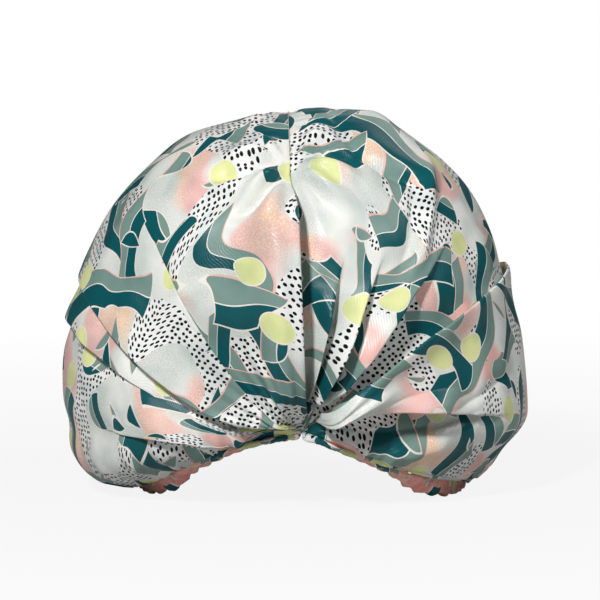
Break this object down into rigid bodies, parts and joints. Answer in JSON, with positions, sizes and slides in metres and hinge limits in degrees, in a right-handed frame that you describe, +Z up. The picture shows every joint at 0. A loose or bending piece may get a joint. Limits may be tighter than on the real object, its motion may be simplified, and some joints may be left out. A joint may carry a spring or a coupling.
{
  "type": "shower cap",
  "caption": "Puffed turban shower cap with pleated printed satin halves drawn into a front knot, a waterproof lining and a gathered elastic hem that stretches open.",
  "frame": {"origin": "middle of the cap's box, on the flat that its hem stands on", "axes": "+X to the right as seen from the front, +Y from the front knot to the rear, +Z up to the crown"},
  "size_m": [0.297, 0.2354, 0.2428],
  "materials": {
    "printed_satin": "satin weave with an all-over print",
    "hem_satin": "gathered satin",
    "lining_film": "soft waterproof film",
    "seam_tape": "sealed tape",
    "elastic_band": "knitted",
    "sewing_thread": "twisted thread"
  },
  "bodies": {
    "centre": {"lining_seam_tape": "seam_tape", "centre_seam_stitch": "sewing_thread", "front_knot_tack": "sewing_thread", "rear_tack": "sewing_thread"},
    "left": {"outer_panel_left": "printed_satin", "lining_left": "lining_film", "hem_casing_left": "hem_satin", "elastic_left": "elastic_band", "hem_stitch_left": "sewing_thread"},
    "right": {"outer_panel_right": "printed_satin", "lining_right": "lining_film", "hem_casing_right": "hem_satin", "elastic_right": "elastic_band", "hem_stitch_right": "sewing_thread"}
  },
  "joints": [
    {"name": "hem_stretch_left", "type": "slide", "parent": "centre", "child": "left", "axis": [-1, 0, 0], "range_m": [0, 0.02], "stiffness_N_per_m": 60},
    {"name": "hem_stretch_right", "type": "slide", "parent": "centre", "child": "right", "axis": [1, 0, 0], "range_m": [0, 0.02], "stiffness_N_per_m": 60}
  ],
  "couplings": [
    {"joint": "hem_stretch_right", "follows": "hem_stretch_left", "ratio": 1}
  ]
}
